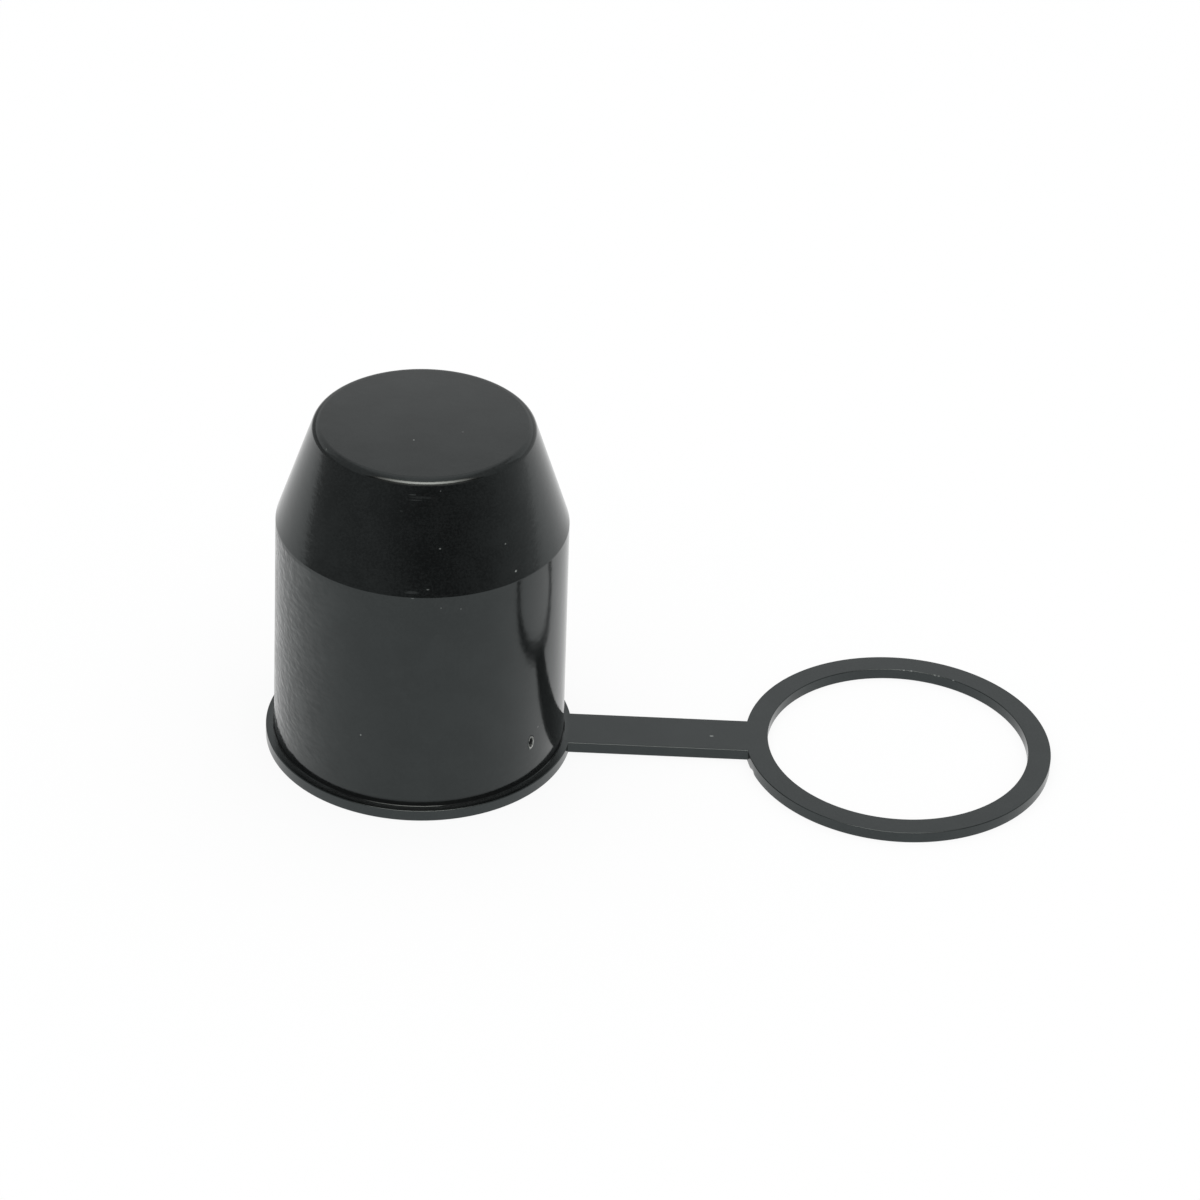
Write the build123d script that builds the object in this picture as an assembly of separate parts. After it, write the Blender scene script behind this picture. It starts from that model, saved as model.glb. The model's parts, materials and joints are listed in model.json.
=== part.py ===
"""Tow ball cover: a thin-walled cup with a flanged mouth, a flat strap and a keeper ring, moulded in one piece.

The cup stands on its mouth. The origin is the centre of the mouth, on the surface that the cover stands on,
with +Z up along the cup's axis and +X along the strap towards the ring. All lengths are in millimetres.
"""
import os
from math import cos, hypot, radians, sin, tan

from build123d import *

# Cup: a straight bore that slips over a 50 mm ball, with draft on the outside of the wall only.
bore_diameter = 61.0
wall = 2.0
draft_angle = 0.57
shoulder_height = 57.4
cup_height = 82.0
top_diameter = 48.4
top_fillet = 2.1
inside_top_fillet = 1.2
shoulder_fillet = 0.6

# Plate: the flange, the strap and the ring share one thickness and lie in one plane.
plate_thickness = 2.65
flange_overhang = 1.8
strap_width = 11.8
strap_length = 39.7
ring_bore_diameter = 59.5
ring_band = 5.2
plate_edge_fillet = 0.3

# Gate mark: the oval pit, with a low raised lip, where the moulding was torn from its runner.
gate_angle = 52.0
gate_height = 12.2
gate_pit_width = 1.7
gate_pit_length = 2.6
gate_pit_depth = 0.5
gate_lip_width = 0.55
gate_lip_rise = 0.15

# Sizes that follow from those above.
bore_r = bore_diameter / 2
shoulder_r = bore_r + wall
mouth_r = shoulder_r + shoulder_height * tan(radians(draft_angle))
flange_r = mouth_r + flange_overhang
top_r = top_diameter / 2
ring_bore_r = ring_bore_diameter / 2
ring_r = ring_bore_r + ring_band
ring_x = flange_r + strap_length + ring_r


def cup() -> Part:
    """The cup: wall, shoulder, cone and closed top, with an inside that follows at one wall thickness."""
    cone_height = cup_height - shoulder_height
    taper = (shoulder_r - top_r) / cone_height
    wall_across = wall * hypot(1, taper)
    inside_shoulder_z = shoulder_height + (wall - wall_across) / taper
    inside_top_z = cup_height - wall
    inside_top_r = bore_r - (inside_top_z - inside_shoulder_z) * taper
    outside = Polyline(
        (bore_r, 0),
        (mouth_r, 0),
        (shoulder_r, shoulder_height),
        (top_r, cup_height),
        (0, cup_height),
    )
    inside = Polyline(
        (0, cup_height),
        (0, inside_top_z),
        (inside_top_r, inside_top_z),
        (bore_r, inside_shoulder_z),
        (bore_r, 0),
    )
    section = make_face(outside + inside)
    section = fillet(corner(section, top_r, cup_height), top_fillet)
    section = fillet(corner(section, inside_top_r, inside_top_z), inside_top_fillet)
    section = fillet(corner(section, shoulder_r, shoulder_height), shoulder_fillet)
    return revolve(Plane.XZ * section, Axis.Z)


def corner(section: Sketch, r: float, z: float) -> Vertex:
    """The corner of a section that lies nearest to a radius and a height."""
    return section.vertices().sort_by_distance((r, z))[0]


def plate() -> Part:
    """The flange, strap and ring as one flat plate, with the cup's mouth and the ring's hole through it."""
    flange = Circle(flange_r)
    ring = Pos(ring_x, 0) * Circle(ring_r)
    strap = Pos(ring_x / 2, 0) * Rectangle(ring_x, strap_width)
    outline = flange + ring + strap
    outline -= Pos(ring_x, 0) * Circle(ring_bore_r)
    slab = extrude(outline, plate_thickness)
    slab = fillet(slab.faces().sort_by(Axis.Z)[-1].edges(), plate_edge_fillet)
    return slab - extrude(Circle(bore_r), plate_thickness)


def gate_plane() -> Plane:
    """A plane on the cup's wall at the gate mark, facing outwards, with its second axis up the wall."""
    angle = radians(gate_angle)
    outwards = Vector(sin(angle), -cos(angle), 0)
    wall_r = mouth_r + (shoulder_r - mouth_r) * gate_height / shoulder_height
    return Plane(outwards * wall_r + Vector(0, 0, gate_height), (cos(angle), sin(angle), 0), outwards)


def gate_plug(margin: float, depth: float) -> Part:
    """An oval plug on the gate mark, a margin wider than the pit, from the lip's height down into the wall."""
    oval = Ellipse(gate_pit_width / 2 + margin, gate_pit_length / 2 + margin)
    return extrude(gate_plane().offset(gate_lip_rise) * oval, -gate_lip_rise - depth)


os.makedirs("parts", exist_ok=True)
lip = gate_plug(gate_lip_width, wall / 2)
pit = gate_plug(0, gate_pit_depth)
cover = cup() + plate() + lip - pit
cover.label = "tow_ball_cover"
export_step(cover, "parts/tow_ball_cover.step")
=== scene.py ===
"""Looks of the tow ball cover: one black moulding with a cup, a flange, a strap and a keeper ring.

The cover stands on its mouth, with +Z up the cup's axis and +X along the strap. Lengths are in metres.
"""
import json
import logging
import math
from dataclasses import dataclass, field
from enum import IntEnum
from typing import Any, Iterable, Sequence, Union

import bmesh
import bpy
from mathutils import Matrix, Vector, noise


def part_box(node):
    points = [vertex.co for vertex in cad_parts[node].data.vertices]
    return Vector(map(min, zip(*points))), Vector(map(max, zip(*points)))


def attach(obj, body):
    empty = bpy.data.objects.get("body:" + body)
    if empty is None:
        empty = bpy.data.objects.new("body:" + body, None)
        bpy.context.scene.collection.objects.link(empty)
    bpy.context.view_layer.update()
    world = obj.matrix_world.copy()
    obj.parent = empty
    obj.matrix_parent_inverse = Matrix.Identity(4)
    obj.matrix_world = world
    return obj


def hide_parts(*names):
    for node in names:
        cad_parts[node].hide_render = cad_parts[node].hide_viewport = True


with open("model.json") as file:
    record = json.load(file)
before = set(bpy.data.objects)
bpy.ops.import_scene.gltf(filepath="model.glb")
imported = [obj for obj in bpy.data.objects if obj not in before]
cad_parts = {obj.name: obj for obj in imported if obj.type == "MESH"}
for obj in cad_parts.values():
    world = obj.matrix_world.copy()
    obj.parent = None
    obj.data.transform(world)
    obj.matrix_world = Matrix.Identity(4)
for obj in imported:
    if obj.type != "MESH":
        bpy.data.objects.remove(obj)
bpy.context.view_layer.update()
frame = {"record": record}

NODE = "tow_ball_cover"
BODY = "root"
MM = 0.001
UP = (0.0, 0.0, 1.0)
WHITE = (1.0, 1.0, 1.0)
BLACK = (0.0, 0.0, 0.0)
LOG = logging.getLogger("tow_ball_cover")

Point = tuple[float, float]
Place = tuple[float, float, float]
Colour = tuple[float, float, float]
Loop = list[bmesh.types.BMVert]


class Zone(IntEnum):
    """Which finish a face of the moulding takes, as its material index."""

    CUP = 0
    PLATE = 1
    INSIDE = 2


class Wire:
    """A shader socket on which Python's operators add Math nodes."""

    def __init__(self, graph: "Graph", socket: bpy.types.NodeSocket) -> None:
        """Keeps the socket and the graph that it belongs to."""
        self.graph = graph
        self.socket = socket

    def math(self, operation: str, *values: "Value", clamp: bool = False) -> "Wire":
        """Adds one Math node.

        Args:
            operation: The node's operation.
            values: Its operands, in order.
            clamp: Whether the result is kept from 0 to 1.

        Returns:
            The node's result.
        """
        settings = {"operation": operation, "use_clamp": clamp}
        return self.graph.add("ShaderNodeMath", settings, dict(enumerate(values)))

    def __add__(self, other: "Value") -> "Wire":
        """The sum of two values."""
        return self.math("ADD", self, other)

    def __radd__(self, other: float) -> "Wire":
        """The sum of a number and this value."""
        return self.math("ADD", other, self)

    def __sub__(self, other: "Value") -> "Wire":
        """The difference of two values."""
        return self.math("SUBTRACT", self, other)

    def __rsub__(self, other: float) -> "Wire":
        """A number less this value."""
        return self.math("SUBTRACT", other, self)

    def __mul__(self, other: "Value") -> "Wire":
        """The product of two values."""
        return self.math("MULTIPLY", self, other)

    def __rmul__(self, other: float) -> "Wire":
        """The product of a number and this value."""
        return self.math("MULTIPLY", other, self)

    def __truediv__(self, other: "Value") -> "Wire":
        """This value over another."""
        return self.math("DIVIDE", self, other)

    def __rtruediv__(self, other: float) -> "Wire":
        """A number over this value."""
        return self.math("DIVIDE", other, self)

    def __abs__(self) -> "Wire":
        """The value without its sign."""
        return self.math("ABSOLUTE", self)

    def clamped(self) -> "Wire":
        """The value kept from 0 to 1."""
        return self.math("ADD", self, 0.0, clamp=True)

    def smooth(self, low: float, high: float) -> "Wire":
        """A smooth step from 0 at the low value to 1 at the high one."""
        inputs = {"Value": self, "From Min": low, "From Max": high}
        return self.graph.add("ShaderNodeMapRange", {"interpolation_type": "SMOOTHSTEP"}, inputs)


Value = Union[Wire, float, int, Sequence[float]]


class Graph:
    """The node tree of a material or a world."""

    def __init__(self, tree: bpy.types.NodeTree) -> None:
        """Empties the tree and keeps it."""
        tree.nodes.clear()
        self.tree = tree

    def add(
        self,
        kind: str,
        settings: dict[str, Any] | None = None,
        inputs: dict[int | str, Value] | None = None,
        output: int | str = 0,
    ) -> Wire:
        """Adds one node.

        Args:
            kind: The node's type.
            settings: Its properties, set before its sockets.
            inputs: Values or links of its sockets, by name or index.
            output: The socket that is handed back.

        Returns:
            That output socket.
        """
        node = self.tree.nodes.new(kind)
        for name, value in (settings or {}).items():
            setattr(node, name, value)
        for name, value in (inputs or {}).items():
            if isinstance(value, Wire):
                self.tree.links.new(value.socket, node.inputs[name])
            else:
                node.inputs[name].default_value = value
        return Wire(self, node.outputs[output]) if node.outputs else Wire(self, node.inputs[0])

    def places(self) -> Wire:
        """Places on the object, in metres, in the frame."""
        return self.add("ShaderNodeTexCoord", output="Object")

    def vector(self, operation: str, *values: Value, output: str = "Vector") -> Wire:
        """Adds one Vector Math node and hands back its vector or its value."""
        return self.add("ShaderNodeVectorMath", {"operation": operation}, dict(enumerate(values)), output)

    def speckle(self, places: Wire, size: float, detail: float = 2.0, fineness: float = 0.5) -> Wire:
        """Soft noise from 0 to 1 with grains of about a given size."""
        inputs = {"Vector": places, "Scale": 1 / size, "Detail": detail, "Roughness": fineness}
        return self.add("ShaderNodeTexNoise", inputs=inputs)

    def blend(self, share: Value, first: Value, second: Value) -> Wire:
        """Mixes two colours by a share from 0 to 1."""
        return self.add("ShaderNodeMix", {"data_type": "RGBA"}, {0: share, 6: first, 7: second}, 2)


def rgba(colour: Colour) -> tuple[float, float, float, float]:
    """A colour with full alpha, as colour sockets take it."""
    return (*colour, 1.0)


@dataclass(frozen=True)
class Scuff:
    """A small patch or stroke of the surface that was rubbed pale."""

    place: Place
    reach: Place
    cover: float = 0.6
    streak: float = 0.7
    streak_span: Point = (0.25, 0.5)
    core: float = 0.35

    def mask(self, graph: Graph, places: Wire) -> Wire:
        """How much of the rub shows at each place.

        Args:
            graph: The material's graph.
            places: Places on the object.

        Returns:
            A value from 0, untouched, to 1, rubbed bare.
        """
        away = graph.vector("DIVIDE", graph.vector("SUBTRACT", places, self.place), self.reach)
        inside = 1 - graph.vector("LENGTH", away, output="Value").smooth(self.core, 1.0)
        return inside * graph.speckle(away, self.streak).smooth(*self.streak_span) * self.cover


@dataclass(frozen=True)
class PaintedCornerShade:
    """Painted shade: a dark matte band on the wall just over the flange, darkest at the foot, where the
    flange shades the wall's reflection.
    """

    low: float
    high: float
    cover: float = 0.9
    patch_size: float = 9.0 * MM
    patch_span: Point = (0.42, 0.58)
    line_width: float = 0.2 * MM
    # The painted shade's colour: a near-black matte with no gloss.
    colour: Colour = (0.0105, 0.0112, 0.0112)

    def mask(self, graph: Graph, places: Wire) -> Wire:
        """How much of the gloss the painted shade hides at each place.

        Args:
            graph: The material's graph.
            places: Places on the object.

        Returns:
            A value from 0, unshaded, to 1, fully shaded.
        """
        height = graph.vector("DOT_PRODUCT", places, UP, output="Value")
        fade = ((self.high - height) / (self.high - self.low)).clamped()
        # The painted shade breaks in patches along the corner's rounding, so its lighter line shows there.
        shade_gaps = graph.speckle(places, self.patch_size).smooth(*self.patch_span)
        line = 1 - height.smooth(self.low - self.line_width, self.low)
        return fade * (1 - line * shade_gaps) * self.cover

    def shade_shader(self, graph: Graph) -> Wire:
        """The painted shade's own dark matte shader, also used in the gate's pit."""
        return graph.add("ShaderNodeBsdfDiffuse", inputs={"Color": rgba(self.colour)})


@dataclass(frozen=True)
class FlangeDust:
    """The pale dust that lies on the flange, close to the cup's wall."""

    inner_r: float
    outer_r: float
    cover: float = 0.25

    def mask(self, graph: Graph, places: Wire) -> Wire:
        """How much dust lies at each place.

        Args:
            graph: The material's graph.
            places: Places on the object.

        Returns:
            A value from 0, clean, to 1, covered.
        """
        flat = graph.vector("MULTIPLY", places, (1.0, 1.0, 0.0))
        radius = graph.vector("LENGTH", flat, output="Value")
        return (1 - radius.smooth(self.inner_r, self.outer_r)) * self.cover


@dataclass(frozen=True)
class Bloom:
    """The pebbled, slightly chalky skin of the wall on the side away from the strap."""

    top: float
    start: float = 8.0 * MM
    end: float = 33.0 * MM
    foot: Point = (4.0 * MM, 9.0 * MM)
    top_fade: float = 1.0 * MM
    pebble_size: float = 1.4 * MM
    pebble_depth: float = 0.18 * MM
    pebble_stretch: float = 1.5
    least: float = 0.10
    chalk: float = 0.34
    chalk_size: float = 6.0 * MM
    chalk_detail: float = 3.0
    chalk_span: Point = (0.35, 0.65)
    cloud_share: float = 0.6

    def reach(self, graph: Graph, places: Wire) -> Wire:
        """How far the skin has changed at each place.

        Args:
            graph: The material's graph.
            places: Places on the object.

        Returns:
            A value from 0, plain, to 1, fully changed.
        """
        height = graph.vector("DOT_PRODUCT", places, UP, output="Value")
        between = height.smooth(*self.foot) * (1 - height.smooth(self.top - self.top_fade, self.top))
        aside = graph.vector("DOT_PRODUCT", places, (-1.0, 0.0, 0.0), output="Value")
        return aside.smooth(self.start, self.end) * between

    def pebbles(self, graph: Graph, places: Wire) -> Wire:
        """Noise from 0 to 1 whose grains are longer round the wall than up it."""
        across = 1 / self.pebble_stretch
        return graph.speckle(graph.vector("MULTIPLY", places, (across, across, 1.0)), self.pebble_size)

    def height(self, graph: Graph, places: Wire) -> Wire:
        """The pebbles' height in metres at each place."""
        depth = (self.least + self.reach(graph, places)) * self.pebble_depth
        return self.pebbles(graph, places) * depth

    def mask(self, graph: Graph, places: Wire) -> Wire:
        """How chalky the skin is at each place.

        Args:
            graph: The material's graph.
            places: Places on the object.

        Returns:
            A value from 0, black, to 1, white with chalk.
        """
        reach = self.reach(graph, places)
        clouds = graph.speckle(places, self.chalk_size, self.chalk_detail) * self.cloud_share
        patches = clouds + self.pebbles(graph, places) * (1 - self.cloud_share)
        return reach * reach * patches.smooth(*self.chalk_span) * self.chalk


@dataclass(frozen=True)
class Crown:
    """The slight crown of the cup's top face, which only its reflections show."""

    curve: float = 0.5

    def height(self, graph: Graph, places: Wire) -> Wire:
        """The crown's height in metres at each place."""
        flat = graph.vector("MULTIPLY", places, (1.0, 1.0, 0.0))
        return graph.vector("DOT_PRODUCT", flat, flat, output="Value") * -self.curve


@dataclass(frozen=True)
class GateMark:
    """The oval pit with a torn lip where the moulding was broken from its runner."""

    angle: float = math.radians(52.0)
    height: float = 12.4 * MM
    pit_width: float = 1.45 * MM
    pit_length: float = 2.7 * MM
    pit_depth: float = 0.5 * MM
    lip_rise: float = 0.14 * MM
    reach: float = 2.4 * MM
    pit_wall: Point = (0.62, 1.05)
    lip_starts: Point = (0.8, 1.1)
    lip_ends: Point = (1.15, 1.5)
    tear: float = 0.35
    edge_tear: float = 0.35 / 3
    stain_tear: float = 0.4
    tear_size: float = 0.6 * MM
    torn_span: Point = (0.3, 0.6)
    pale_starts: Point = (0.85, 1.0)
    pale_ends: Point = (1.1, 1.35)
    lip_colour: Colour = (0.42, 0.42, 0.40)
    dull_ends: Point = (1.0, 1.4)
    dullness: float = 0.5
    # Painted shade: the pit is darkened with the dark matte shader out to these distances from its middle.
    pit_shade_ends: Point = (0.55, 0.9)
    far: float = 100.0

    def outwards(self) -> Vector:
        """The wall's direction outwards at the mark."""
        return Vector((math.sin(self.angle), -math.cos(self.angle), 0.0))

    def sideways(self) -> Vector:
        """The direction round the wall at the mark."""
        return Vector((math.cos(self.angle), math.sin(self.angle), 0.0))

    def rise(self, place: Vector) -> float:
        """How far the surface stands out at a place on the wall.

        Args:
            place: A point on the plain wall.

        Returns:
            The height over the plain wall, negative in the pit.
        """
        across = place.dot(self.sideways()) / (self.pit_width / 2)
        along = (place.z - self.height) / (self.pit_length / 2)
        torn = noise.noise(place / self.tear_size)
        away = math.hypot(across, along) * (1 + self.edge_tear * torn)
        pit = -self.pit_depth * (1 - smooth(away, *self.pit_wall))
        lip = smooth(away, *self.lip_starts) * (1 - smooth(away, *self.lip_ends))
        return pit + self.lip_rise * (1 + self.tear * torn) * lip

    def away(self, graph: Graph, places: Wire) -> Wire:
        """The distance from the middle of the pit, where 1 is its edge.

        Args:
            graph: The material's graph.
            places: Places on the object.

        Returns:
            The distance, uneven as the tear is.
        """
        side = graph.vector("DOT_PRODUCT", places, tuple(self.sideways()), output="Value")
        out = graph.vector("DOT_PRODUCT", places, tuple(self.outwards()), output="Value")
        height = graph.vector("DOT_PRODUCT", places, UP, output="Value") - self.height
        across = side / (self.pit_width / 2)
        along = height / (self.pit_length / 2)
        square = across * across + along * along
        behind = out.math("LESS_THAN", out, 0.0) * self.far
        torn = graph.speckle(places, self.tear_size) - 0.5
        return square.math("SQRT", square) * (1 + torn * self.stain_tear) + behind

    def paleness(self, graph: Graph, places: Wire, away: Wire) -> Wire:
        """How much of the pale torn lip shows at each place.

        Args:
            graph: The material's graph.
            places: Places on the object.
            away: The distance from the middle of the pit.

        Returns:
            A value from 0, black, to 1, pale.
        """
        torn = graph.speckle(places, self.tear_size / 2).smooth(*self.torn_span)
        return away.smooth(*self.pale_starts) * (1 - away.smooth(*self.pale_ends)) * torn


@dataclass(frozen=True)
class MouldedPlastic:
    """Black moulded plastic with a fine grain, slow waves in its gloss, dust specks, rubbed patches and,
    where given, painted shade.
    """

    name: str
    colour: Colour = (0.0048, 0.0053, 0.0053)
    worn_colour: Colour = (0.085, 0.09, 0.09)
    speck_colour: Colour = (0.30, 0.31, 0.30)
    gloss_tint: Colour = (0.90, 1.0, 1.0)
    gloss_level: float = 0.47
    tint_spread: float = 0.5
    roughness: float = 0.13
    roughness_spread: float = 0.07
    cloud_size: float = 7.0 * MM
    cloud_detail: float = 4.0
    cloud_share: float = 0.4
    mottle_span: Point = (0.38, 0.62)
    rub_size: float = 7.0 / 3 * MM
    rub_detail: float = 5.0
    rub_span: Point = (0.66, 0.86)
    rub_cover: float = 0.05
    worn_roughness: float = 0.3
    grain_size: float = 0.5 * MM
    grain_detail: float = 3.0
    grain_depth: float = 0.004 * MM
    wave_size: float = 6.0 * MM
    wave_detail: float = 1.0
    wave_depth: float = 0.010 * MM
    bloom: Bloom | None = None
    speck_spacing: float = 7.0 * MM
    speck_radius: float = 0.13 * MM
    speck_core: float = 0.6
    speck_share: float = 0.12
    dust_spacing: float = 1.1 * MM
    dust_share: float = 0.35
    scuffs: tuple[Scuff | FlangeDust, ...] = ()
    dust: tuple[Scuff, ...] = ()
    dusty: tuple[Scuff, ...] = ()
    # Painted shade over the flange's corner and in the gate's pit, when both are given.
    painted_shade: PaintedCornerShade | None = None
    crown: Crown | None = None
    gate: GateMark | None = None

    def material(self) -> bpy.types.Material:
        """Builds the node material.

        Returns:
            The finished material.
        """
        made = bpy.data.materials.new(self.name)
        made.use_nodes = True
        graph = Graph(made.node_tree)
        places = graph.places()
        clouds = graph.speckle(places, self.cloud_size, self.cloud_detail)
        grain = graph.speckle(places, self.grain_size, self.grain_detail)
        wear = self.wear(graph, places)
        bright = tuple(c * (1 + self.tint_spread) for c in self.colour)
        dull = tuple(c * (1 - self.tint_spread) for c in self.colour)
        mottle = clouds * self.cloud_share + grain * (1 - self.cloud_share)
        colour = graph.blend(mottle.smooth(*self.mottle_span), rgba(dull), rgba(bright))
        colour = graph.blend(wear, colour, rgba(self.worn_colour))
        colour = graph.blend(self.specks(graph, places), colour, rgba(self.speck_colour))
        spread = (clouds - 0.5) * self.roughness_spread + (grain - 0.5) * (self.roughness_spread / 2)
        rough = self.roughness + spread + wear * self.worn_roughness
        if self.gate:
            away = self.gate.away(graph, places)
            lip = self.gate.paleness(graph, places, away)
            colour = graph.blend(lip, colour, rgba(self.gate.lip_colour))
            rough = rough + (1 - away.smooth(*self.gate.dull_ends)) * self.gate.dullness
        inputs = {
            "Base Color": colour,
            "Roughness": rough.clamped(),
            "Normal": self.normal(graph, places, grain),
            "Specular IOR Level": self.gloss_level,
            "Specular Tint": rgba(self.gloss_tint),
        }
        shader = graph.add("ShaderNodeBsdfPrincipled", inputs=inputs)
        if self.painted_shade and self.gate:
            # Painted shade: a dark matte shader is mixed over the wall's foot and into the gate's pit.
            share = self.painted_shade.mask(graph, places) + 1 - away.smooth(*self.gate.pit_shade_ends)
            mix = {0: share.clamped(), 1: shader, 2: self.painted_shade.shade_shader(graph)}
            shader = graph.add("ShaderNodeMixShader", inputs=mix)
        graph.add("ShaderNodeOutputMaterial", inputs={"Surface": shader})
        return made

    def wear(self, graph: Graph, places: Wire) -> Wire:
        """Adds up the rubbed patches.

        Args:
            graph: The material's graph.
            places: Places on the object.

        Returns:
            A value from 0, new, to 1, rubbed bare.
        """
        rubs = graph.speckle(places, self.rub_size, self.rub_detail)
        total = rubs.smooth(*self.rub_span) * self.rub_cover
        marks = (*self.scuffs, self.bloom) if self.bloom else self.scuffs
        for mark in marks:
            total = total + mark.mask(graph, places)
        return total.clamped()

    def specks(self, graph: Graph, places: Wire) -> Wire:
        """Sparse dust specks.

        Args:
            graph: The material's graph.
            places: Places on the object.

        Returns:
            A value of 1 on a speck and 0 elsewhere.
        """
        total = self.dots(graph, places, self.speck_spacing, self.speck_share)
        for patch in self.dusty:
            dots = self.dots(graph, places, self.dust_spacing, self.dust_share)
            total = total + dots * patch.mask(graph, places)
        for speck in self.dust:
            total = total + speck.mask(graph, places)
        return total.clamped()

    def dots(self, graph: Graph, places: Wire, spacing: float, share: float) -> Wire:
        """Small round dots scattered over the surface.

        Args:
            graph: The material's graph.
            places: Places on the object.
            spacing: The size of the cells that may hold a dot.
            share: The share of the cells that do.

        Returns:
            A value of 1 on a dot and 0 elsewhere.
        """
        inputs = {"Vector": places, "Scale": 1 / spacing}
        cells = graph.add("ShaderNodeTexVoronoi", inputs=inputs, output="Distance")
        pick = graph.add("ShaderNodeTexVoronoi", inputs=inputs, output="Color")
        chance = graph.vector("DOT_PRODUCT", pick, (1.0, 0.0, 0.0), output="Value")
        size = self.speck_radius / spacing
        return (1 - cells.smooth(size * self.speck_core, size)) * chance.math("LESS_THAN", chance, share)

    def normal(self, graph: Graph, places: Wire, grain: Wire) -> Wire:
        """Bends the normal by slow waves, the grain, the pebbles and the crown.

        Args:
            graph: The material's graph.
            places: Places on the object.
            grain: The grain's height, from 0 to 1.

        Returns:
            The bent normal.
        """
        waves = graph.speckle(places, self.wave_size, self.wave_detail)
        height = waves * self.wave_depth + grain * self.grain_depth
        if self.bloom:
            height = height + self.bloom.height(graph, places)
        if self.crown:
            height = height + self.crown.height(graph, places)
        return graph.add("ShaderNodeBump", inputs={"Distance": 1.0, "Height": height}, output="Normal")


def smooth(value: float, low: float, high: float) -> float:
    """A smooth step from 0 at the low value to 1 at the high one."""
    share = min(max((value - low) / (high - low), 0.0), 1.0)
    return share * share * (3 - 2 * share)


def corner_arc(before: Vector, at: Vector, after: Vector, radius: float, steps: int) -> list[Point]:
    """Rounds one corner of an outline.

    Args:
        before: The point before the corner.
        at: The corner.
        after: The point after the corner.
        radius: The rounding's radius.
        steps: How many steps its arc has.

    Returns:
        The points of the tangent arc.
    """
    back = (before - at).normalized()
    ahead = (after - at).normalized()
    half = back.angle(ahead) / 2
    centre = at + (back + ahead).normalized() * (radius / math.sin(half))
    start = at + back * (radius / math.tan(half)) - centre
    end = at + ahead * (radius / math.tan(half)) - centre
    turn = math.atan2(start.x * end.y - start.y * end.x, start.dot(end))
    return [tuple(centre + Matrix.Rotation(turn * i / steps, 2) @ start) for i in range(steps + 1)]


def rounded(corners: Sequence[Point], radii: Sequence[float], steps: int) -> list[Point]:
    """Rounds the inner corners of an open outline.

    Args:
        corners: The outline's corners, first and last included.
        radii: A radius for each corner but the first and last.
        steps: How many steps each arc has.

    Returns:
        The rounded outline.
    """
    spots = [Vector(corner) for corner in corners]
    points = [corners[0]]
    for before, at, after, radius in zip(spots, spots[1:], spots[2:], radii):
        points += corner_arc(before, at, after, radius, steps)
    return points + [corners[-1]]


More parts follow.
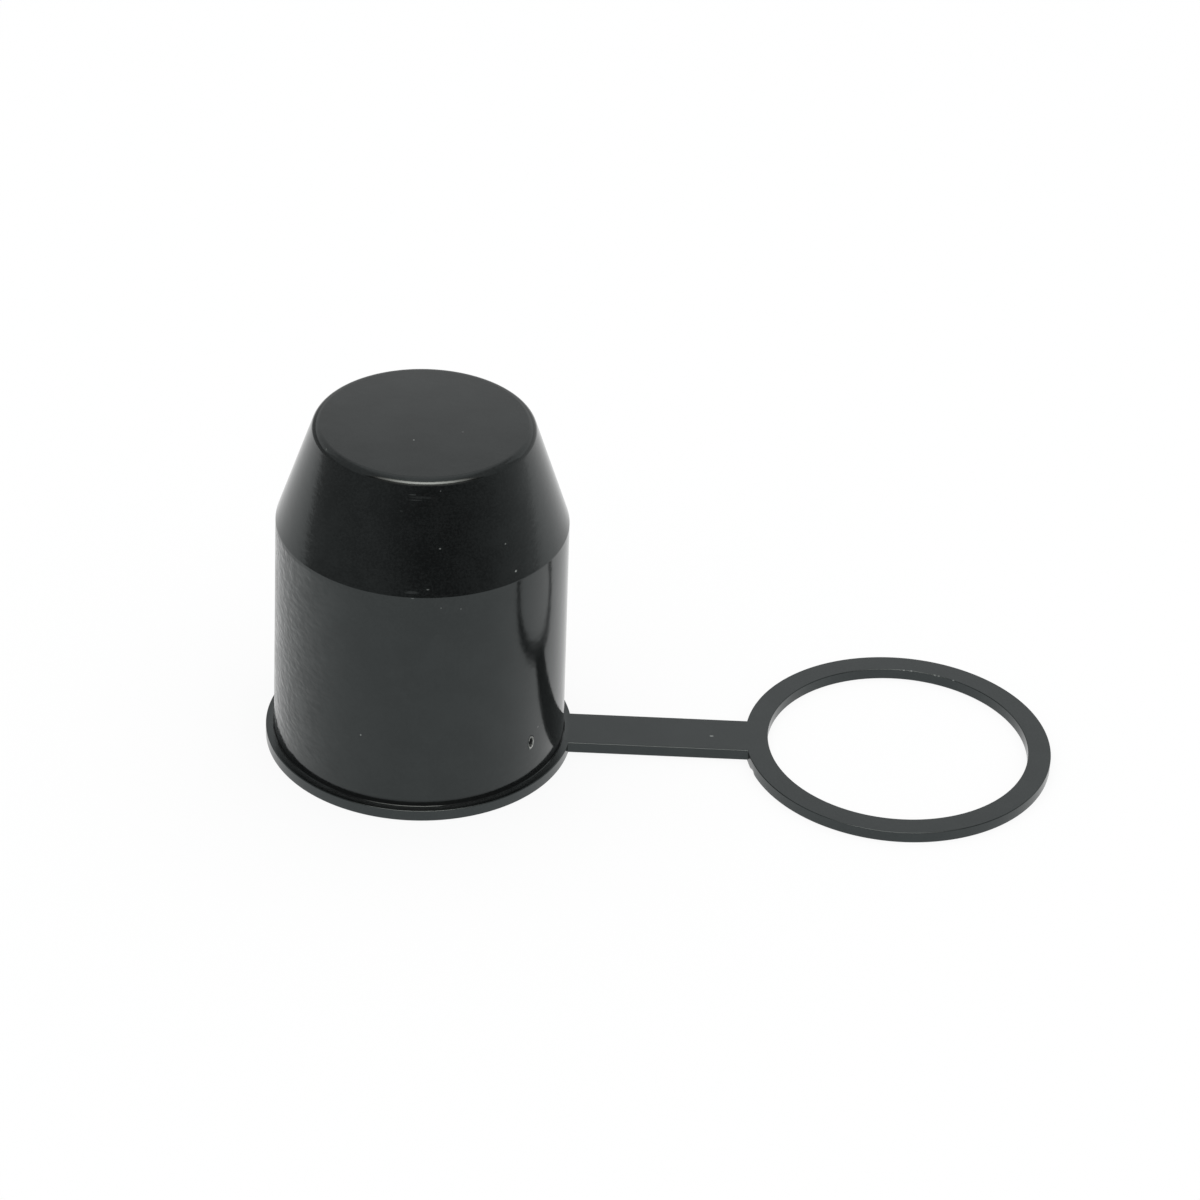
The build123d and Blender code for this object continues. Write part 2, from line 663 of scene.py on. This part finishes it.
@dataclass
class Cover:
    """The whole moulding: cup, flange, strap and ring in one closed skin."""

    bore_r: float
    ring_bore_r: float
    ring_x: float
    ring_r: float
    flange_r: float
    cup_height: float
    wall: float = 2.0 * MM
    draft: float = math.radians(0.57)
    shoulder_height: float = 57.4 * MM
    top_r: float = 24.2 * MM
    top_round: float = 2.1 * MM
    inside_top_round: float = 1.2 * MM
    shoulder_round: float = 0.6 * MM
    plate_thickness: float = 2.65 * MM
    strap_width: float = 11.8 * MM
    edge_round: float = 0.2 * MM
    low_edge_round: float = 0.15 * MM
    corner_round: float = 0.27 * MM
    # Height of the painted shade band over the flange's corner.
    painted_shade_height: float = 1.5 * MM
    crumb_angles: tuple[float, ...] = (84.9, 81.6, 70.8, 69.0, 61.9)
    nick_angle: float = math.radians(197.2)
    nick_half: float = math.radians(2.2)
    nick_depth: float = 0.24 * MM
    nick_height: float = 0.9 * MM
    cap_r: float = 1.0 * MM
    gate_band: float = 3.4 * MM
    gate_rows: int = 8
    gate_cuts: int = 9
    free_steps: int = 256
    strap_steps: int = 14
    foot_steps: int = 8
    outside_steps: int = 12
    inside_steps: int = 6
    edge_steps: int = 4
    gate: GateMark = field(default_factory=GateMark)
    mesh: bmesh.types.BMesh = field(default_factory=bmesh.new)

    @classmethod
    def from_frame(cls) -> "Cover":
        """Takes the sizes that the frame states from its box and its mounts.

        Returns:
            The cover, with its other sizes as they stand here.
        """
        low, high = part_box(NODE)
        mounts = {mount["name"]: mount for mount in frame["record"]["mounts"]}
        ring_x = mounts["ring_hole"]["pos_m"][0]
        return cls(
            bore_r=mounts["ball_socket"]["dims"]["r_mm"] * MM,
            ring_bore_r=mounts["ring_hole"]["dims"]["r_mm"] * MM,
            ring_x=ring_x,
            ring_r=high.x - ring_x,
            flange_r=-low.x,
            cup_height=high.z,
        )

    def wall_r(self, z: float) -> float:
        """The cup's outer radius at a height under the shoulder."""
        return self.bore_r + self.wall + (self.shoulder_height - z) * math.tan(self.draft)

    def cone_r(self, z: float) -> float:
        """The cup's outer radius at a height over the shoulder."""
        share = (z - self.shoulder_height) / (self.cup_height - self.shoulder_height)
        return self.wall_r(self.shoulder_height) * (1 - share) + self.top_r * share

    def on_wall(self, angle: float, z: float) -> Place:
        """A place on the outside of the cup.

        Args:
            angle: The angle in degrees from the front towards the strap.
            z: The height.

        Returns:
            The place.
        """
        r = self.wall_r(z) if z < self.shoulder_height else self.cone_r(z)
        turn = math.radians(angle)
        return (r * math.sin(turn), -r * math.cos(turn), z)

    def build(self) -> bpy.types.Object:
        """Builds and dresses the moulding.

        Returns:
            The piece, riding on the frame in place of its solid.
        """
        outer, inner = self.cup()
        self.plate(outer, inner)
        bmesh.ops.recalc_face_normals(self.mesh, faces=self.mesh.faces[:])
        self.press_gate()
        data = bpy.data.meshes.new("moulded_cover")
        self.mesh.to_mesh(data)
        self.mesh.free()
        data.shade_smooth()
        for finish in self.finishes():
            data.materials.append(finish.material())
        piece = bpy.data.objects.new("moulded_cover", data)
        bpy.context.scene.collection.objects.link(piece)
        even = piece.modifiers.new("even_shading", "WEIGHTED_NORMAL")
        even.keep_sharp = True
        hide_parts(NODE)
        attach(piece, BODY)
        return piece

    def finishes(self) -> list[MouldedPlastic]:
        """The finishes of the zones, in the order of their indices."""
        return [self.cup_finish(), self.plate_finish(), MouldedPlastic("inside_plastic", roughness=0.3)]

    def cup_finish(self) -> MouldedPlastic:
        """The finish of the cup's outside, with the marks that show there and the painted shade over the
        flange.

        Returns:
            The finish.
        """
        corner = self.plate_thickness + self.corner_round
        return MouldedPlastic(
            "cup_plastic",
            bloom=Bloom(self.shoulder_height),
            scuffs=self.cup_scuffs(),
            dust=self.cup_dust(),
            dusty=(self.stroke(-13.0, 68.0, 6.0, 9.0, 0.3),),
            # Painted shade on the wall's foot, just over the flange's corner.
            painted_shade=PaintedCornerShade(corner, corner + self.painted_shade_height),
            crown=Crown(),
            gate=self.gate,
        )

    def cup_scuffs(self) -> tuple[Scuff, ...]:
        """The rubbed strokes under the top's rim and on the shoulder.

        Returns:
            The strokes.
        """
        return (
            self.stroke(-2.6, 78.9, 1.2, 0.14, 0.35),
            self.stroke(-1.0, 77.8, 2.0, 0.16, 0.22),
            self.stroke(2.0, 78.4, 3.2, 0.35, 0.12),
            self.stroke(-7.5, 75.3, 0.5, 0.2, 0.2),
            self.stroke(-1.2, 58.5, 2.0, 0.45, 0.2),
        )

    def cup_dust(self) -> tuple[Scuff, ...]:
        """The single specks on the cone, the wall and the top face.

        Returns:
            The specks.
        """
        return (
            self.stroke(10.2, 67.7, 0.28, 0.2, 0.6),
            self.stroke(39.8, 66.0, 0.22, 0.22, 0.5),
            self.stroke(42.4, 59.6, 0.28, 0.3, 0.8),
            self.stroke(11.1, 79.7, 0.2, 0.18, 0.25),
            self.stroke(-57.8, 81.7, 0.3, 0.35, 0.5),
            self.stroke(5.1, 59.2, 0.4, 0.14, 0.45),
            self.stroke(-0.7, 57.25, 0.45, 0.12, 0.4),
            self.stroke(10.2, 54.8, 0.2, 0.2, 0.35),
            self.stroke(17.9, 54.1, 0.2, 0.2, 0.35),
            self.stroke(56.3, 15.3, 0.2, 0.25, 0.4),
            self.stroke(-20.2, 19.8, 0.25, 0.25, 0.7),
            Scuff((-1.9 * MM, -7.7 * MM, self.cup_height), (0.24 * MM, 0.28 * MM, 0.2 * MM), 0.7),
            Scuff((8.5 * MM, -3.4 * MM, self.cup_height), (0.24 * MM, 0.24 * MM, 0.2 * MM), 0.25),
        )

    def plate_finish(self) -> MouldedPlastic:
        """The finish of the flange, strap and ring, with a speck on the strap and crumbs in the ring.

        Returns:
            The finish.
        """
        top = self.plate_thickness
        speck = Scuff((66.9 * MM, -0.8 * MM, top), (0.6 * MM, 0.35 * MM, 0.3 * MM), 0.7)
        crumb = (0.35 * MM, 0.3 * MM, 0.3 * MM)
        spots = (self.on_ring(angle, self.ring_bore_r, top) for angle in self.crumb_angles)
        crumbs = (Scuff(spot, crumb, 0.6) for spot in spots)
        return MouldedPlastic(
            "plate_plastic",
            roughness=0.2,
            gloss_level=0.60,
            gloss_tint=(0.87, 0.99, 1.0),
            scuffs=(FlangeDust(self.wall_r(top), self.flange_r - self.edge_round),),
            dust=(speck, *crumbs),
        )

    def stroke(
        self, angle: float, z_mm: float, half_length: float, half_height: float, cover: float
    ) -> Scuff:
        """A level stroke on the cup's outside.

        Args:
            angle: Its angle in degrees from the front towards the strap.
            z_mm: Its height in millimetres.
            half_length: Half its length in millimetres.
            half_height: Half its height in millimetres.
            cover: How pale it is.

        Returns:
            The stroke.
        """
        return Scuff(self.on_wall(angle, z_mm * MM), (half_length * MM, MM, half_height * MM), cover)

    def on_ring(self, angle: float, radius: float, z: float) -> Place:
        """A place at an angle in degrees round the ring's centre."""
        turn = math.radians(angle)
        return (self.ring_x + radius * math.cos(turn), radius * math.sin(turn), z)

    def spread(self, towards: float, radius: float, half_width: float) -> list[float]:
        """Angles round a circle, with both corners of the strap among them.

        Args:
            towards: The angle at which the strap joins the circle.
            radius: The circle's radius.
            half_width: Half the strap's width.

        Returns:
            The angles in turn: the free stretch, then the stretch under the strap.
        """
        corner = math.asin(half_width / radius)
        free_turn = 2 * (math.pi - corner)
        free = [towards + corner + free_turn * i / self.free_steps for i in range(self.free_steps)]
        under = [towards - corner + 2 * corner * i / self.strap_steps for i in range(self.strap_steps)]
        return free + under

    def circle(self, angles: Iterable[float], radius: float, x: float, z: float) -> Loop:
        """Vertices of a level circle at the given angles."""
        spots = [(x + radius * math.cos(a), radius * math.sin(a), z) for a in angles]
        return [self.mesh.verts.new(spot) for spot in spots]

    def skin(self, first: Loop, second: Loop, zone: Zone, closed: bool = True) -> None:
        """Joins two rows of vertices with quads.

        Args:
            first: One row.
            second: The other row, with as many vertices.
            zone: The zone of the new faces.
            closed: Whether the rows go all the way round.
        """
        count = len(first)
        for i in range(count if closed else count - 1):
            j = (i + 1) % count
            face = self.mesh.faces.new((first[i], first[j], second[j], second[i]))
            face.material_index = zone

    def cap(self, loop: Loop, z: float, zone: Zone) -> None:
        """Closes a loop round the cup's axis with a fan.

        Args:
            loop: The loop.
            z: The height of the fan's middle.
            zone: The zone of the new faces.
        """
        centre = self.mesh.verts.new((0.0, 0.0, z))
        for i, vertex in enumerate(loop):
            face = self.mesh.faces.new((vertex, loop[(i + 1) % len(loop)], centre))
            face.material_index = zone

    def cup(self) -> tuple[Loop, Loop]:
        """Builds the cup's outside and inside.

        Returns:
            The loops where the outside meets the flange's top and the inside meets its underside.
        """
        angles = self.spread(0.0, self.flange_r, self.strap_width / 2)
        outer = self.turned(self.outside(), angles, Zone.CUP)
        inner = self.turned(self.inside(), angles, Zone.INSIDE)
        self.cap(outer[-1], self.cup_height, Zone.CUP)
        self.cap(inner[-1], self.cup_height - self.wall, Zone.INSIDE)
        return outer[0], inner[0]

    def turned(self, section: Sequence[Point], angles: Sequence[float], zone: Zone) -> list[Loop]:
        """Turns a section round the cup's axis and skins it.

        Args:
            section: Radius and height along the section.
            angles: The angles of the columns.
            zone: The zone of the new faces.

        Returns:
            The loops along the section.
        """
        loops = [self.circle(angles, r, 0.0, z) for r, z in section]
        for low, high in zip(loops, loops[1:]):
            self.skin(low, high, zone)
        return loops

    def outside(self) -> list[Point]:
        """The outside of the cup in section, with closer rows round the gate mark.

        Returns:
            Radius and height from the flange up and over to near the axis.
        """
        low = self.plate_thickness
        first, step = self.gate.height - self.gate_band, 2 * self.gate_band / self.gate_rows
        heights = [first + step * i for i in range(self.gate_rows + 1)]
        rows = [(self.wall_r(z), z) for z in heights]
        foot = [(self.flange_r, low), (self.wall_r(low), low), rows[0]]
        shoulder = (self.wall_r(self.shoulder_height), self.shoulder_height)
        corners = [rows[-1], shoulder, (self.top_r, self.cup_height), (self.cap_r, self.cup_height)]
        rounds = [self.shoulder_round, self.top_round]
        lower = rounded(foot, [self.corner_round], self.foot_steps)[1:]
        return lower + rows[1:-1] + rounded(corners, rounds, self.outside_steps)

    def inside(self) -> list[Point]:
        """The inside of the cup in section, one wall's thickness within the outside.

        Returns:
            Radius and height from the underside of the mouth up and over to near the axis.
        """
        slope = (self.wall_r(self.shoulder_height) - self.top_r) / (self.cup_height - self.shoulder_height)
        shoulder_z = self.shoulder_height + self.wall * (1 - math.hypot(1, slope)) / slope
        top_z = self.cup_height - self.wall
        top_r = self.bore_r - (top_z - shoulder_z) * slope
        corners = [
            (self.flange_r, 0.0),
            (self.bore_r, 0.0),
            (self.bore_r, shoulder_z),
            (top_r, top_z),
            (self.cap_r, top_z),
        ]
        rounds = [self.edge_round, self.shoulder_round, self.inside_top_round]
        return rounded(corners, rounds, self.inside_steps)[1:]

    def edge_levels(self) -> list[Point]:
        """The plate's rounded edge, with a row at the top of the nick.

        Returns:
            Inset and height from the underside to the top.
        """
        turns = [math.pi / 2 * i / self.edge_steps for i in range(self.edge_steps + 1)]
        low, high = self.low_edge_round, self.edge_round
        under = [(low * (1 - math.sin(t)), low * (1 - math.cos(t))) for t in turns]
        over = [(high * (1 - math.cos(t)), self.plate_thickness - high * (1 - math.sin(t))) for t in turns]
        return under + [(0.0, self.nick_height)] + over

    def plate(self, outer: Loop, inner: Loop) -> None:
        """Builds the flange, strap and ring as one flat plate round the cup's mouth.

        Args:
            outer: The loop where the cup's outside meets the flange's top.
            inner: The loop where the cup's inside meets the flange's underside.
        """
        levels = self.edge_levels()
        edges = [self.outline(inset, z) for inset, z in levels]
        holes = [self.ring_hole(inset, z) for inset, z in levels]
        for low, high in zip(edges, edges[1:]):
            self.skin(low, high, Zone.PLATE)
        for low, high in zip(holes, holes[1:]):
            self.skin(low, high, Zone.PLATE)
        self.face(edges[-1], outer, holes[-1], *levels[-1])
        self.face(edges[0], inner, holes[0], *levels[0])

    def outline(self, inset: float, z: float) -> Loop:
        """Vertices of the plate's outline at one level, with the nick in the ring.

        Args:
            inset: How far the outline is drawn in.
            z: The level's height.

        Returns:
            The vertices round the flange, then round the ring.
        """
        count = self.free_steps + 1
        half_width = self.strap_width / 2 - inset
        flange_r, ring_r = self.flange_r - inset, self.ring_r - inset
        flange = self.circle(self.spread(0.0, flange_r, half_width)[:count], flange_r, 0.0, z)
        angles = self.spread(math.pi, ring_r, half_width)[:count]
        ring = self.circle(angles, ring_r, self.ring_x, z)
        for angle, vertex in zip(angles, ring):
            vertex.co -= Vector((math.cos(angle), math.sin(angle), 0.0)) * self.nick(angle, z)
        return flange + ring

    def nick(self, angle: float, z: float) -> float:
        """How deep the nick in the ring's lower outer edge is at an angle and a height."""
        along = 1 - smooth(abs(angle - self.nick_angle), self.nick_half / 2, self.nick_half)
        return self.nick_depth * along * (1 - smooth(z, 0.0, self.nick_height))

    def ring_hole(self, inset: float, z: float) -> Loop:
        """Vertices of the ring's hole, widened by an inset."""
        angles = self.spread(math.pi, self.ring_r, self.strap_width / 2)
        return self.circle(angles, self.ring_bore_r + inset, self.ring_x, z)

    def face(self, edge: Loop, mouth: Loop, hole: Loop, inset: float, z: float) -> None:
        """Builds the plate's top or underside.

        Args:
            edge: The outline's loop at this level.
            mouth: The loop round the cup's mouth at this level.
            hole: The loop round the ring's hole at this level.
            inset: How far the outline is drawn in here.
            z: The level's height.
        """
        count = self.free_steps + 1
        half_width = self.strap_width / 2 - inset
        flange_r, ring_r = self.flange_r - inset, self.ring_r - inset
        flange_under = self.circle(self.spread(0.0, flange_r, half_width)[count:], flange_r, 0.0, z)
        ring_under = self.circle(self.spread(math.pi, ring_r, half_width)[count:], ring_r, self.ring_x, z)
        flange, ring = edge[:count], edge[count:]
        self.skin(flange + flange_under, mouth, Zone.PLATE)
        self.skin(ring + ring_under, hole, Zone.PLATE)
        strap_start = [flange[-1], *flange_under, flange[0]]
        strap_end = [ring[0], *reversed(ring_under), ring[-1]]
        self.skin(strap_start, strap_end, Zone.PLATE, closed=False)

    def press_gate(self) -> None:
        """Divides the wall round the gate mark and presses its pit and lip."""
        outwards = self.gate.outwards()
        centre = Vector(self.on_wall(math.degrees(self.gate.angle), self.gate.height))
        reach = self.gate.reach
        near = [
            face
            for face in self.mesh.faces
            if face.material_index == Zone.CUP and (face.calc_center_median() - centre).length < reach
        ]
        edges = {edge for face in near for edge in face.edges}
        bmesh.ops.subdivide_edges(self.mesh, edges=list(edges), cuts=self.gate_cuts, use_grid_fill=True)
        for vertex in self.mesh.verts:
            if (vertex.co - centre).length < reach:
                vertex.co += outwards * self.gate.rise(vertex.co)


@dataclass
class PhotoCamera:
    """The photograph's camera: where it stands, how it is turned and its lens."""

    place: Place = (35.533 * MM, -771.806 * MM, 540.274 * MM)
    azimuth: float = -0.331
    elevation: float = 33.064
    roll: float = -2.69
    lens_mm: float = 123.457
    sensor_mm: float = 36.0

    def build(self) -> bpy.types.Object:
        """Makes the camera and sets it as the scene's own.

        Returns:
            The camera.
        """
        azimuth, elevation, roll = map(math.radians, (self.azimuth, self.elevation, self.roll))
        flat = math.cos(elevation)
        forward = Vector((-math.sin(azimuth) * flat, math.cos(azimuth) * flat, -math.sin(elevation)))
        level = Vector((math.cos(azimuth), math.sin(azimuth), 0.0))
        down = forward.cross(level)
        right = level * math.cos(roll) + down * math.sin(roll)
        up = level * math.sin(roll) - down * math.cos(roll)
        data = bpy.data.cameras.new("photo_camera")
        data.lens = self.lens_mm
        data.sensor_width = self.sensor_mm
        camera = bpy.data.objects.new("photo_camera", data)
        turned = Matrix((right, up, -forward)).transposed().to_4x4()
        camera.matrix_world = Matrix.Translation(self.place) @ turned
        bpy.context.scene.collection.objects.link(camera)
        bpy.context.scene.camera = camera
        return camera


@dataclass
class Studio:
    """A white floor under a soft sky, with a softbox in front and the room that the gloss shows."""

    floor_size: float = 12.0
    floor_gap: float = 0.05 * MM
    floor_colour: Colour = (0.92, 0.92, 0.92)
    floor_lift: float = 0.88
    sky_colour: Colour = (0.78, 0.79, 0.79)
    sky_mirrored: Colour = (0.5, 0.5, 0.5)
    ceiling_height: float = 1.2
    ceiling_front: float = -0.5
    ceiling_back: float = 1.0
    ceiling_half: float = 0.55
    key_height: float = 1.6
    key_size: Point = (2.4, 2.4)
    key_level: float = 0.75
    gleam_radius: float = 0.8
    gleam_spread: float = math.radians(60.0)
    apron_foot: float = 0.34
    gleam_foot: float = 0.64
    gleam_full: Point = (0.73, 1.30)
    gleam_head: float = 1.60
    gleam_level: float = 11.0
    gleam_colour: Colour = (1.0, 0.93, 0.87)
    gleam_turn: float = math.radians(4.0)
    room_radius: float = 0.42
    room_foot: float = 0.002
    room_height: float = 0.20
    room_front: float = 0.12
    room_left: float = 0.30
    room_right: float = 0.66
    room_back: float = 0.55
    front_starts: Point = (math.radians(-42.0), math.radians(8.0))
    front_ends: Point = (math.radians(25.0), math.radians(122.0))
    back_starts: Point = (math.radians(140.0), math.radians(170.0))
    card_radius: float = 0.95
    card_spread: float = math.radians(70.0)
    card_foot: float = 0.2
    card_head: float = 1.05
    card_fade: Point = (0.3, 0.95)
    card_low: float = 0.93
    card_high: float = 0.67
    card_side: float = 0.45
    card_sides: Point = (0.02, 0.12)
    card_steps: int = 64

    def build(self) -> None:
        """Builds the floor, the sky, the lamps and the room, and sets the plain view transform."""
        self.floor()
        self.sky()
        self.key()
        self.softbox()
        self.ceiling()
        self.room()
        self.back_card()
        bpy.context.scene.view_settings.view_transform = "Standard"

    def floor(self) -> None:
        """Lays the white floor just under the cover, clear when it is seen from below."""
        half, z = self.floor_size / 2, -self.floor_gap
        corners = [(-half, -half, z), (half, -half, z), (half, half, z), (-half, half, z)]
        floor = self.prop("paper_floor", corners, [(0, 1, 2, 3)])
        material = bpy.data.materials.new("white_paper")
        material.use_nodes = True
        graph = Graph(material.node_tree)
        paper = graph.add("ShaderNodeBsdfDiffuse", inputs={"Color": rgba(self.floor_colour)})
        white = graph.add("ShaderNodeEmission", inputs={"Color": rgba(WHITE), "Strength": 1.0})
        rays = ("Is Camera Ray", "Is Glossy Ray", "Is Transmission Ray")
        seen, mirrored, through = (graph.add("ShaderNodeLightPath", output=ray) for ray in rays)
        share = (seen + mirrored + through) * self.floor_lift
        shader = graph.add("ShaderNodeMixShader", inputs={0: share, 1: paper, 2: white})
        below = graph.add("ShaderNodeNewGeometry", output="Backfacing")
        clear = graph.add("ShaderNodeBsdfTransparent")
        shader = graph.add("ShaderNodeMixShader", inputs={0: below, 1: shader, 2: clear})
        graph.add("ShaderNodeOutputMaterial", inputs={"Surface": shader})
        floor.data.materials.append(material)

    def prop(self, name: str, corners: Sequence[Place], faces: Sequence[Sequence[int]]) -> bpy.types.Object:
        """Makes a stage mesh.

        Args:
            name: The object's name.
            corners: Its vertices.
            faces: Its faces, as indices of vertices.

        Returns:
            The new object.
        """
        data = bpy.data.meshes.new(name)
        data.from_pydata(corners, [], faces)
        made = bpy.data.objects.new(name, data)
        bpy.context.scene.collection.objects.link(made)
        return made

    def sky(self) -> None:
        """Lights the scene from all round with an even pale sky."""
        world = bpy.data.worlds.new("pale_sky")
        world.use_nodes = True
        graph = Graph(world.node_tree)
        mirrored = graph.add("ShaderNodeLightPath", output="Is Glossy Ray")
        seen = graph.add("ShaderNodeLightPath", output="Is Camera Ray")
        colour = graph.blend(mirrored, rgba(self.sky_colour), rgba(self.sky_mirrored))
        colour = graph.blend(seen, colour, rgba(WHITE))
        light = graph.add("ShaderNodeBackground", inputs={"Color": colour, "Strength": 1.0})
        graph.add("ShaderNodeOutputWorld", inputs={"Surface": light})
        bpy.context.scene.world = world

    def key(self) -> None:
        """Hangs the wide lamp over the cover that lights the floor."""
        light = bpy.data.lights.new("soft_key", "AREA")
        light.shape = "RECTANGLE"
        light.size, light.size_y = self.key_size
        light.energy = self.key_level * math.pi * light.size * light.size_y
        lamp = bpy.data.objects.new("soft_key", light)
        lamp.location = (0.0, 0.0, self.key_height)
        lamp.visible_camera = lamp.visible_glossy = False
        bpy.context.scene.collection.objects.link(lamp)

    def softbox(self) -> None:
        """Stands the bright face of a softbox in front, fading to its sides, over a plain white apron."""
        span = (self.apron_foot, self.gleam_head)
        graph, card = self.arc("softbox_face", self.gleam_radius, self.gleam_spread, span)
        reach = self.gleam_radius * math.sin(self.gleam_spread)
        places = graph.places()
        aside = graph.vector("DOT_PRODUCT", places, (1 / reach, 0.0, 0.0), output="Value")
        height = graph.vector("DOT_PRODUCT", places, UP, output="Value")
        low, high = self.gleam_full
        face = height.smooth(self.gleam_foot, low) * (1 - height.smooth(high, self.gleam_head))
        apron = 1 / self.gleam_level
        share = (1 - aside * aside).clamped() * (face * (1 - apron) + apron)
        colour = graph.blend(share, rgba(BLACK), rgba(self.gleam_colour))
        self.light_up(graph, colour, self.gleam_level)
        card.rotation_euler.z = self.gleam_turn

    def ceiling(self) -> None:
        """Hangs a pale card over the cover, fading to its sides."""
        half, z = self.ceiling_half, self.ceiling_height
        front, back = self.ceiling_front, self.ceiling_back
        corners = [(-half, front, z), (-half, back, z), (half, back, z), (half, front, z)]
        graph, _ = self.mirrored_card("ceiling_card", corners, [(0, 1, 2, 3)])
        aside = graph.vector("DOT_PRODUCT", graph.places(), (1 / half, 0.0, 0.0), output="Value")
        colour = graph.blend((1 - aside * aside).clamped(), rgba(self.sky_mirrored), rgba(WHITE))
        self.light_up(graph, colour)

    def room(self) -> None:
        """Stands the room's dark front and paler sides round the cover."""
        graph, _ = self.arc("dark_room", self.room_radius, math.pi, (self.room_foot, self.room_height))
        places = graph.places()
        aside = graph.vector("DOT_PRODUCT", places, (1.0, 0.0, 0.0), output="Value")
        ahead = graph.vector("DOT_PRODUCT", places, (0.0, -1.0, 0.0), output="Value")
        turn = aside.math("ARCTAN2", aside, ahead)
        levels = (self.room_left, self.room_front, self.room_right, self.room_back)
        left, front, right, back = (rgba((level, level, level)) for level in levels)
        colour = graph.blend(turn.smooth(*self.front_starts), left, front)
        colour = graph.blend(turn.smooth(*self.front_ends), colour, right)
        colour = graph.blend(abs(turn).smooth(*self.back_starts), colour, back)
        self.light_up(graph, colour)

    def back_card(self) -> None:
        """Stands a pale card behind the cover, darker towards its head."""
        span = (self.card_foot, self.card_head)
        graph, _ = self.arc("back_card", -self.card_radius, self.card_spread, span)
        places = graph.places()
        height = graph.vector("DOT_PRODUCT", places, UP, output="Value")
        aside = graph.vector("DOT_PRODUCT", places, (1.0, 0.0, 0.0), output="Value")
        low, high = (rgba((level, level, level)) for level in (self.card_low, self.card_high))
        colour = graph.blend(height.smooth(*self.card_fade), low, high)
        paler = aside.smooth(*self.card_sides) * self.card_side
        self.light_up(graph, graph.blend(paler, colour, rgba(WHITE)))

    def arc(self, name: str, radius: float, spread: float, span: Point) -> tuple[Graph, bpy.types.Object]:
        """Stands a curved card round the cover that only reflections show.

        Args:
            name: The card's name.
            radius: Its distance in front of the cover, or behind it where negative.
            spread: How far it reaches to either side.
            span: The heights of its lower and upper edges.

        Returns:
            The graph of its material, and the card.
        """
        steps = self.card_steps
        turns = [spread * (2 * i / steps - 1) for i in range(steps + 1)]
        ring = [(radius * math.sin(t), -radius * math.cos(t)) for t in turns]
        corners = [(x, y, z) for x, y in ring for z in span]
        faces = [(2 * i, 2 * i + 2, 2 * i + 3, 2 * i + 1) for i in range(steps)]
        return self.mirrored_card(name, corners, faces)

    def mirrored_card(
        self, name: str, corners: Sequence[Place], faces: Sequence[Sequence[int]]
    ) -> tuple[Graph, bpy.types.Object]:
        """Makes a card that only reflections show.

        Args:
            name: The card's name.
            corners: Its vertices.
            faces: Its faces, as indices of vertices.

        Returns:
            The graph of its material, and the card.
        """
        card = self.prop(name, corners, faces)
        material = bpy.data.materials.new(name)
        material.use_nodes = True
        card.data.materials.append(material)
        card.visible_camera = card.visible_diffuse = card.visible_shadow = False
        return Graph(material.node_tree), card

    def light_up(self, graph: Graph, colour: Wire, level: float = 1.0) -> None:
        """Makes a card glow with a colour at a level, where 1 is plain."""
        shader = graph.add("ShaderNodeEmission", inputs={"Color": colour, "Strength": level})
        graph.add("ShaderNodeOutputMaterial", inputs={"Surface": shader})


def main() -> None:
    """Builds the studio, the camera and the cover, and logs the cover's face count."""
    logging.basicConfig(level=logging.INFO, format="%(name)s: %(message)s")
    Studio().build()
    PhotoCamera().build()
    piece = Cover.from_frame().build()
    LOG.info("%s: %d faces", piece.name, len(piece.data.polygons))


if __name__ == "__main__":
    main()
